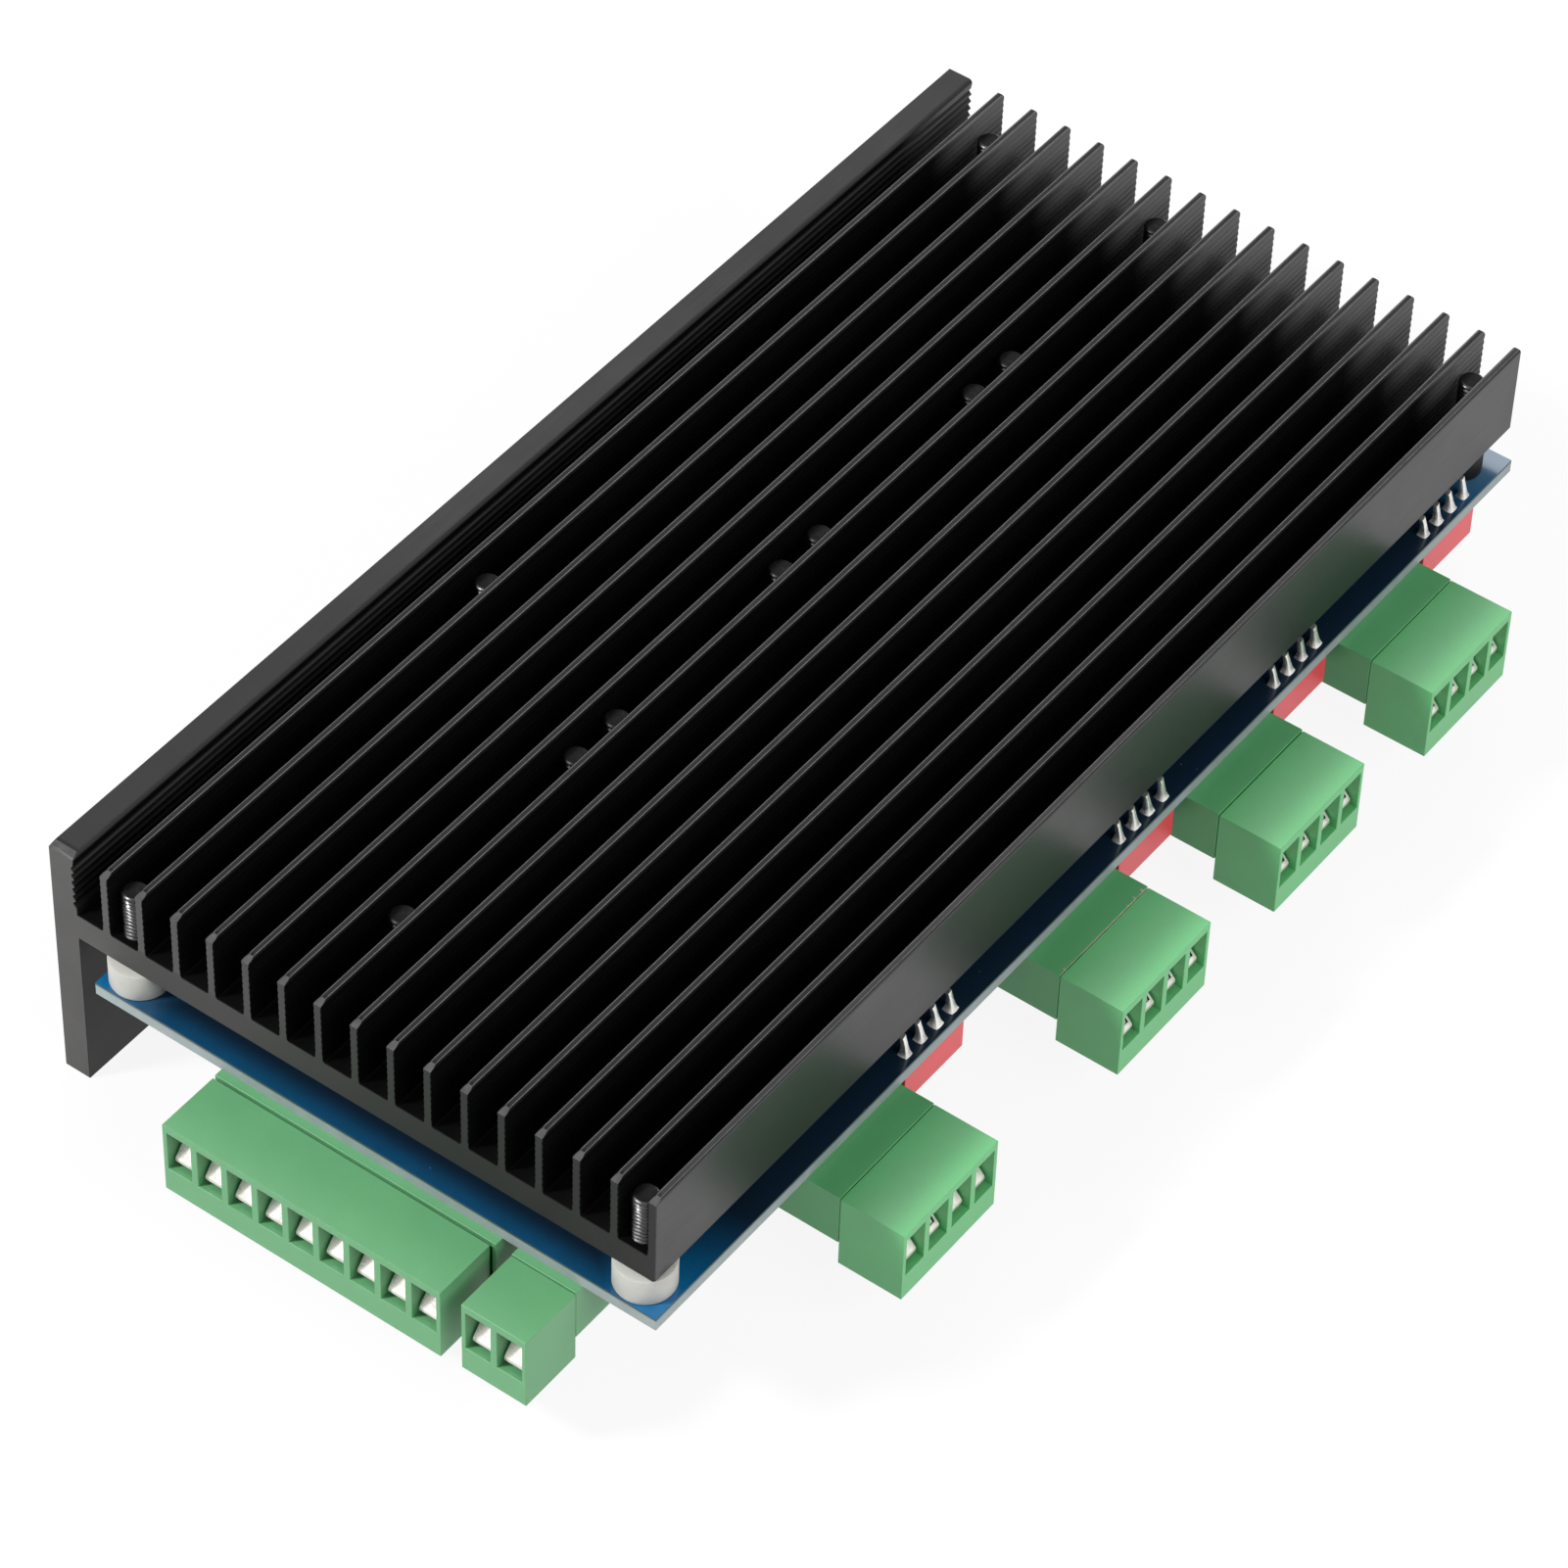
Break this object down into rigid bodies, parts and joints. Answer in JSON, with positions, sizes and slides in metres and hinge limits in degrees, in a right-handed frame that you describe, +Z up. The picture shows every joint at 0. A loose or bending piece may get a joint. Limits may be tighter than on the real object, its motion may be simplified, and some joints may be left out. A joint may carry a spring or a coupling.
{
  "type": "stepper motor driver",
  "caption": "Long black finned heatsink with one deep side wall, a blue circuit board spaced below it, and green pluggable screw terminals along two board edges.",
  "frame": {"origin": "centre of the foot face of the heatsink's side wall", "axes": "+Z up from the foot, +Y along the fins towards the data socket, +X from the side wall towards the motor terminals"},
  "size_m": [0.0873, 0.1662, 0.0321],
  "materials": {
    "black_anodised": "black anodised, satin",
    "blue_board": "blue solder mask over glass-fibre board",
    "white_nylon": "natural nylon",
    "screw_steel": "dark plated steel",
    "tinned_pin": "tinned contact pins",
    "tinned_lead": "tinned switch leads",
    "clamp_nickel": "nickel plated wire clamps",
    "clamp_screw": "plated clamp screws",
    "socket_steel": "tinned steel shell",
    "socket_plastic": "black insulator",
    "chip_black": "black moulding compound",
    "resistor_ceramic": "dark glazed ceramic",
    "header_green": "green polyamide",
    "plug_green": "green polyamide",
    "switch_red": "red moulding",
    "capacitor_sleeve": "dark shrink sleeve",
    "slider_white": "white moulding"
  },
  "bodies": {
    "driver": {"board_screws": "screw_steel", "capacitor_1": "capacitor_sleeve", "capacitor_2": "capacitor_sleeve", "capacitor_3": "capacitor_sleeve", "capacitor_4": "capacitor_sleeve", "chip_screws": "screw_steel", "circuit_board": "blue_board", "clamp_screws": "clamp_screw", "data_socket_insert": "socket_plastic", "data_socket_nuts": "socket_steel", "data_socket_shell": "socket_steel", "dip_leads": "tinned_lead", "dip_switch_1": "switch_red", "dip_switch_2": "switch_red", "dip_switch_3": "switch_red", "dip_switch_4": "switch_red", "driver_chip_1": "chip_black", "driver_chip_2": "chip_black", "driver_chip_3": "chip_black", "driver_chip_4": "chip_black", "header_control": "header_green", "header_motor_1": "header_green", "header_motor_2": "header_green", "header_motor_3": "header_green", "header_motor_4": "header_green", "header_pins": "tinned_pin", "header_power": "header_green", "heatsink": "black_anodised", "logic_chips": "chip_black", "optocouplers": "chip_black", "plug_control": "plug_green", "plug_motor_1": "plug_green", "plug_motor_2": "plug_green", "plug_motor_3": "plug_green", "plug_motor_4": "plug_green", "plug_power": "plug_green", "regulator": "chip_black", "sense_resistors": "resistor_ceramic", "spacers": "white_nylon", "wire_clamps": "clamp_nickel"},
    "moving_slider_1_1": {"slider_1_1": "slider_white"},
    "moving_slider_1_2": {"slider_1_2": "slider_white"},
    "moving_slider_1_3": {"slider_1_3": "slider_white"},
    "moving_slider_1_4": {"slider_1_4": "slider_white"},
    "moving_slider_2_1": {"slider_2_1": "slider_white"},
    "moving_slider_2_2": {"slider_2_2": "slider_white"},
    "moving_slider_2_3": {"slider_2_3": "slider_white"},
    "moving_slider_2_4": {"slider_2_4": "slider_white"},
    "moving_slider_3_1": {"slider_3_1": "slider_white"},
    "moving_slider_3_2": {"slider_3_2": "slider_white"},
    "moving_slider_3_3": {"slider_3_3": "slider_white"},
    "moving_slider_3_4": {"slider_3_4": "slider_white"},
    "moving_slider_4_1": {"slider_4_1": "slider_white"},
    "moving_slider_4_2": {"slider_4_2": "slider_white"},
    "moving_slider_4_3": {"slider_4_3": "slider_white"},
    "moving_slider_4_4": {"slider_4_4": "slider_white"}
  },
  "joints": [
    {"name": "slider_1_1_slide", "type": "slide", "parent": "driver", "child": "moving_slider_1_1", "axis": [1, 0, 0], "range_m": [0, 0.0018]},
    {"name": "slider_1_2_slide", "type": "slide", "parent": "driver", "child": "moving_slider_1_2", "axis": [1, 0, 0], "range_m": [0, 0.0018]},
    {"name": "slider_1_3_slide", "type": "slide", "parent": "driver", "child": "moving_slider_1_3", "axis": [1, 0, 0], "range_m": [0, 0.0018]},
    {"name": "slider_1_4_slide", "type": "slide", "parent": "driver", "child": "moving_slider_1_4", "axis": [1, 0, 0], "range_m": [0, 0.0018]},
    {"name": "slider_2_1_slide", "type": "slide", "parent": "driver", "child": "moving_slider_2_1", "axis": [1, 0, 0], "range_m": [0, 0.0018]},
    {"name": "slider_2_2_slide", "type": "slide", "parent": "driver", "child": "moving_slider_2_2", "axis": [1, 0, 0], "range_m": [0, 0.0018]},
    {"name": "slider_2_3_slide", "type": "slide", "parent": "driver", "child": "moving_slider_2_3", "axis": [1, 0, 0], "range_m": [0, 0.0018]},
    {"name": "slider_2_4_slide", "type": "slide", "parent": "driver", "child": "moving_slider_2_4", "axis": [1, 0, 0], "range_m": [0, 0.0018]},
    {"name": "slider_3_1_slide", "type": "slide", "parent": "driver", "child": "moving_slider_3_1", "axis": [1, 0, 0], "range_m": [0, 0.0018]},
    {"name": "slider_3_2_slide", "type": "slide", "parent": "driver", "child": "moving_slider_3_2", "axis": [1, 0, 0], "range_m": [0, 0.0018]},
    {"name": "slider_3_3_slide", "type": "slide", "parent": "driver", "child": "moving_slider_3_3", "axis": [1, 0, 0], "range_m": [0, 0.0018]},
    {"name": "slider_3_4_slide", "type": "slide", "parent": "driver", "child": "moving_slider_3_4", "axis": [1, 0, 0], "range_m": [0, 0.0018]},
    {"name": "slider_4_1_slide", "type": "slide", "parent": "driver", "child": "moving_slider_4_1", "axis": [1, 0, 0], "range_m": [0, 0.0018]},
    {"name": "slider_4_2_slide", "type": "slide", "parent": "driver", "child": "moving_slider_4_2", "axis": [1, 0, 0], "range_m": [0, 0.0018]},
    {"name": "slider_4_3_slide", "type": "slide", "parent": "driver", "child": "moving_slider_4_3", "axis": [1, 0, 0], "range_m": [0, 0.0018]},
    {"name": "slider_4_4_slide", "type": "slide", "parent": "driver", "child": "moving_slider_4_4", "axis": [1, 0, 0], "range_m": [0, 0.0018]}
  ]
}
